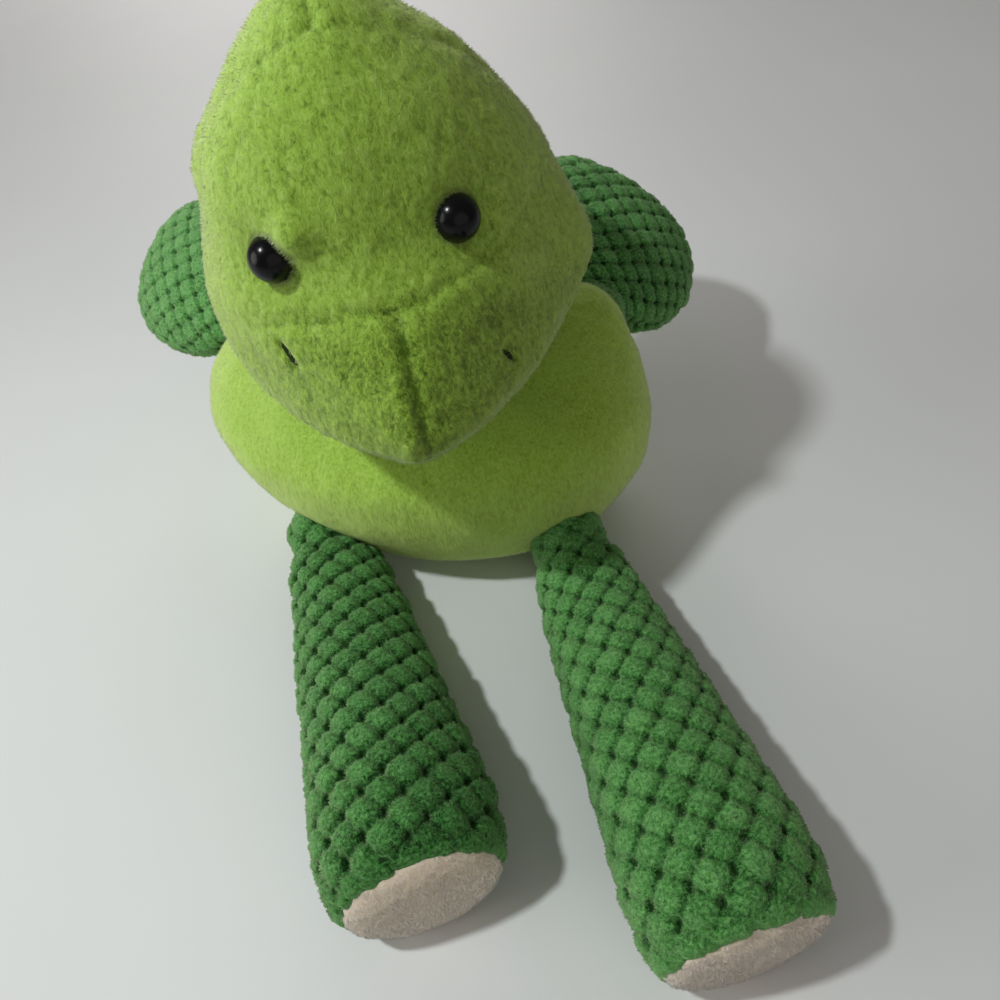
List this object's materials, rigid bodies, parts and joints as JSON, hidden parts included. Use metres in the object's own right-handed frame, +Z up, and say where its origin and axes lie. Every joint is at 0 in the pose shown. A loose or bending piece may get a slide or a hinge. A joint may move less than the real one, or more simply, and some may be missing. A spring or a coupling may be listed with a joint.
{
  "type": "plush toy animal",
  "caption": "Seated stuffed toy animal with a peaked head, blunt muzzle, glossy eyes, short nubbly arms and long nubbly legs ending in fleece foot pads.",
  "frame": {"origin": "middle of the flat patch that the body sits on, at floor level", "axes": "+Z up; the toy faces -Y, with its legs stretched out along -Y; its left side is towards +X"},
  "size_m": [0.2748, 0.3748, 0.236],
  "materials": {
    "lime_plush": "short curly pile",
    "popcorn_plush": "nubbly popcorn pile",
    "beige_fleece": "brushed fleece",
    "filling": "loose fibre",
    "eye_plastic": "polished",
    "washer_plastic": "matt",
    "thread": "embroidery thread"
  },
  "bodies": {
    "torso": {"seat_panel": "lime_plush", "belly_panel": "lime_plush", "back_panel_left": "lime_plush", "back_panel_right": "lime_plush", "body_filling": "filling"},
    "neck_cup": {"neck_gather": "lime_plush"},
    "neck_core": {"neck_wad": "filling"},
    "head": {"crown_panel": "lime_plush", "muzzle_panel_left": "lime_plush", "muzzle_panel_right": "lime_plush", "head_back_panel_left": "lime_plush", "head_back_panel_right": "lime_plush", "chin_panel": "lime_plush", "head_filling": "filling", "eye_left": "eye_plastic", "eye_right": "eye_plastic", "eye_washer_left": "washer_plastic", "eye_washer_right": "washer_plastic", "nostril_stitch_left": "thread", "nostril_stitch_right": "thread"},
    "shoulder_right": {"shoulder_gather_right": "lime_plush"},
    "arm_right": {"arm_right_front_panel": "popcorn_plush", "arm_right_back_panel": "popcorn_plush", "arm_right_filling": "filling"},
    "shoulder_left": {"shoulder_gather_left": "lime_plush"},
    "arm_left": {"arm_left_front_panel": "popcorn_plush", "arm_left_back_panel": "popcorn_plush", "arm_left_filling": "filling"},
    "hip_right": {"hip_gather_right": "lime_plush"},
    "leg_right": {"leg_right_top_panel": "popcorn_plush", "leg_right_under_panel": "popcorn_plush", "leg_right_filling": "filling", "foot_pad_right": "beige_fleece"},
    "hip_left": {"hip_gather_left": "lime_plush"},
    "leg_left": {"leg_left_top_panel": "popcorn_plush", "leg_left_under_panel": "popcorn_plush", "leg_left_filling": "filling", "foot_pad_left": "beige_fleece"}
  },
  "joints": [
    {"name": "neck_turn", "type": "hinge", "parent": "torso", "child": "neck_cup", "pos_m": [-0.01, -0.006, 0.102], "axis": [0, 0, 1], "range_deg": [-40, 35], "stiffness_Nm_per_rad": 0.5},
    {"name": "neck_nod", "type": "hinge", "parent": "neck_cup", "child": "neck_core", "pos_m": [-0.01, -0.006, 0.102], "axis": [1, 0, 0], "range_deg": [-18, 5], "stiffness_Nm_per_rad": 1},
    {"name": "neck_tilt", "type": "hinge", "parent": "neck_core", "child": "head", "pos_m": [-0.01, -0.006, 0.102], "axis": [0, 1, 0], "range_deg": [-7, 7], "stiffness_Nm_per_rad": 1},
    {"name": "shoulder_swing_right", "type": "hinge", "parent": "torso", "child": "shoulder_right", "pos_m": [-0.07489, 0.05614, 0.082], "axis": [0, 0, 1], "range_deg": [-40, 14], "stiffness_Nm_per_rad": 0.15},
    {"name": "shoulder_raise_right", "type": "hinge", "parent": "shoulder_right", "child": "arm_right", "pos_m": [-0.07489, 0.05614, 0.082], "axis": [0.809, 0.5878, 0], "range_deg": [-14, 45], "stiffness_Nm_per_rad": 0.15},
    {"name": "shoulder_swing_left", "type": "hinge", "parent": "torso", "child": "shoulder_left", "pos_m": [0.06371, 0.00015, 0.082], "axis": [0, 0, 1], "range_deg": [-45, 8], "stiffness_Nm_per_rad": 0.15},
    {"name": "shoulder_raise_left", "type": "hinge", "parent": "shoulder_left", "child": "arm_left", "pos_m": [0.06371, 0.00015, 0.082], "axis": [0.8746, -0.4848, 0], "range_deg": [-10, 30], "stiffness_Nm_per_rad": 0.15},
    {"name": "hip_splay_right", "type": "hinge", "parent": "torso", "child": "hip_right", "pos_m": [-0.07149, -0.03011, 0.022], "axis": [0, 0, 1], "range_deg": [-35, 5], "stiffness_Nm_per_rad": 0.15},
    {"name": "hip_swing_right", "type": "hinge", "parent": "hip_right", "child": "leg_right", "pos_m": [-0.07149, -0.03011, 0.022], "axis": [-0.9912, -0.1323, 0], "range_deg": [-65, 8], "stiffness_Nm_per_rad": 0.15},
    {"name": "hip_splay_left", "type": "hinge", "parent": "torso", "child": "hip_left", "pos_m": [0.03223, -0.06704, 0.022], "axis": [0, 0, 1], "range_deg": [-5, 35], "stiffness_Nm_per_rad": 0.15},
    {"name": "hip_swing_left", "type": "hinge", "parent": "hip_left", "child": "leg_left", "pos_m": [0.03223, -0.06704, 0.022], "axis": [-0.9978, -0.0663, 0], "range_deg": [-65, 14], "stiffness_Nm_per_rad": 0.15}
  ]
}
